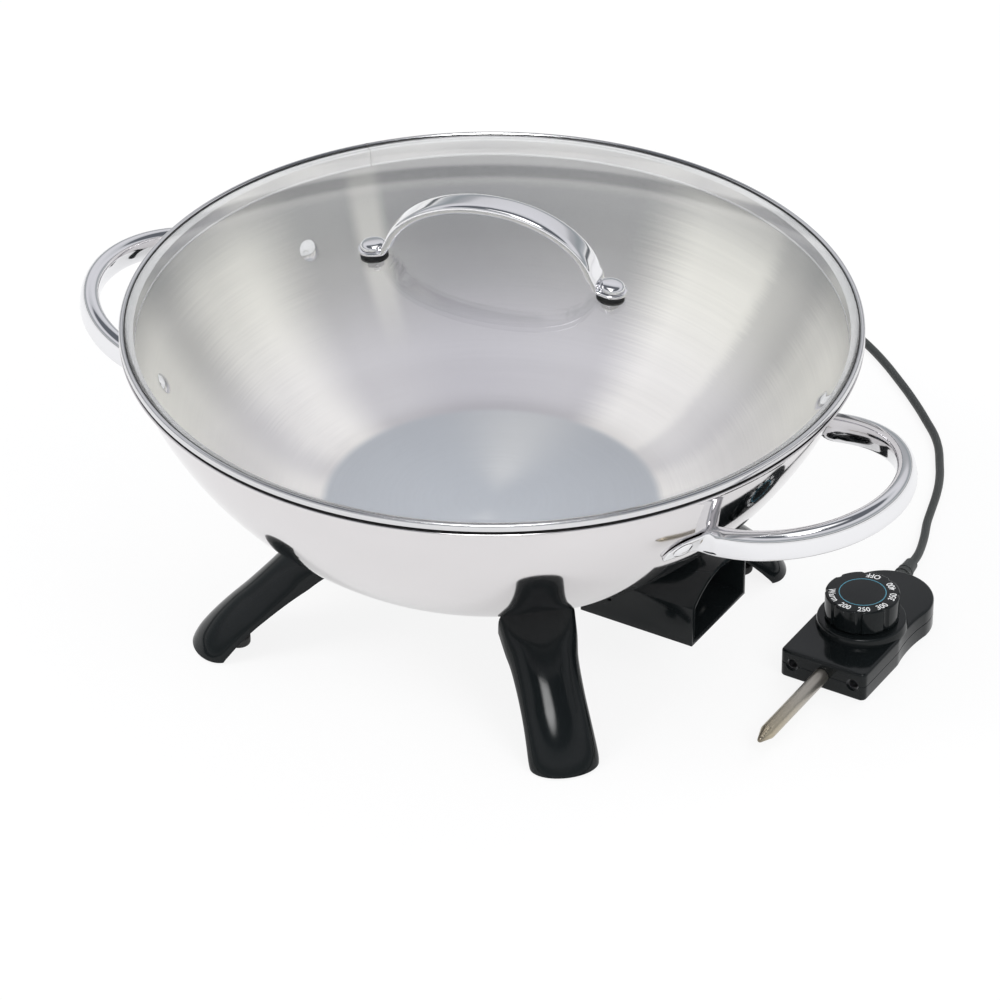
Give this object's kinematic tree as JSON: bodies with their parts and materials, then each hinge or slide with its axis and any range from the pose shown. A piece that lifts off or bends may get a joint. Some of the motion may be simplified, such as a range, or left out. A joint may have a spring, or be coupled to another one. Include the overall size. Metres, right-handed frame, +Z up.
{
  "type": "electric wok",
  "caption": "Electric wok: polished steel bowl on moulded legs with loop handles, a domed glass cover with a strap handle, and a detachable probe heat control with its cord.",
  "frame": {"origin": "on the bowl's axis at the table, under the middle of the feet and of the whole object's box without the cord", "axes": "+Z up along the bowl's axis; the loop handles lie along +X and -X, the left one turned 2.3 degrees from it; the control's guard opens towards +X"},
  "size_m": [0.4551, 0.5176, 0.2376],
  "materials": {
    "polished_steel": "mirror polished outside, brushed inside",
    "handle_steel": "polished",
    "band_steel": "bright",
    "cast_plate": "as cast, machined face",
    "sheath": "heat-darkened",
    "plated_pins": "plated",
    "ceramic": "unglazed",
    "socket_steel": "turned",
    "gloss_black": "moulded, glossy",
    "zinc_screws": "zinc plated",
    "foot_rubber": "matte",
    "cover_glass": "clear tempered",
    "contact_brass": "bright",
    "probe_steel": "satin, warmed near the tip",
    "cord_black": "matte"
  },
  "bodies": {
    "wok": {"bowl": "polished_steel", "base_plate": "cast_plate", "heating_element": "sheath", "terminal_pins": "plated_pins", "pin_insulators": "ceramic", "probe_socket": "socket_steel", "probe_guard": "gloss_black", "guard_screws": "zinc_screws", "leg_front_right": "gloss_black", "leg_back_right": "gloss_black", "leg_back_left": "gloss_black", "leg_front_left": "gloss_black", "leg_screws": "zinc_screws", "rubber_feet": "foot_rubber", "handle_right": "handle_steel", "handle_left": "handle_steel", "handle_rivets": "handle_steel"},
    "lid": {"lid_glass": "cover_glass", "lid_ring": "band_steel", "lid_handle": "handle_steel", "handle_washers": "foot_rubber", "handle_studs": "handle_steel", "handle_nuts": "zinc_screws"},
    "heat_control": {"control_base": "gloss_black", "control_top": "gloss_black", "control_screws": "zinc_screws", "thermostat_block": "ceramic", "contact_blades": "contact_brass", "terminal_sleeves": "contact_brass", "probe": "probe_steel", "shaft_bushing": "contact_brass", "strain_relief": "cord_black", "cord_run": "cord_black", "cord_coil": "cord_black", "cord_tail": "cord_black", "cord_tie": "foot_rubber", "plug_body": "cord_black", "plug_blades": "plated_pins"},
    "dial_knob": {"dial": "gloss_black", "dial_shaft": "zinc_screws"}
  },
  "joints": [
    {"name": "lid_lift", "type": "slide", "parent": "wok", "child": "lid", "axis": [0, 0, 1], "range_m": [0, 0.2]},
    {"name": "control_lift", "type": "slide", "parent": "wok", "child": "heat_control", "axis": [0, 0, 1], "range_m": [0, 0.06]},
    {"name": "dial_turn", "type": "hinge", "parent": "heat_control", "child": "dial_knob", "pos_m": [0.1775, 0.0625, 0.027], "axis": [0, 0, 1], "range_deg": [-312, 0]}
  ]
}
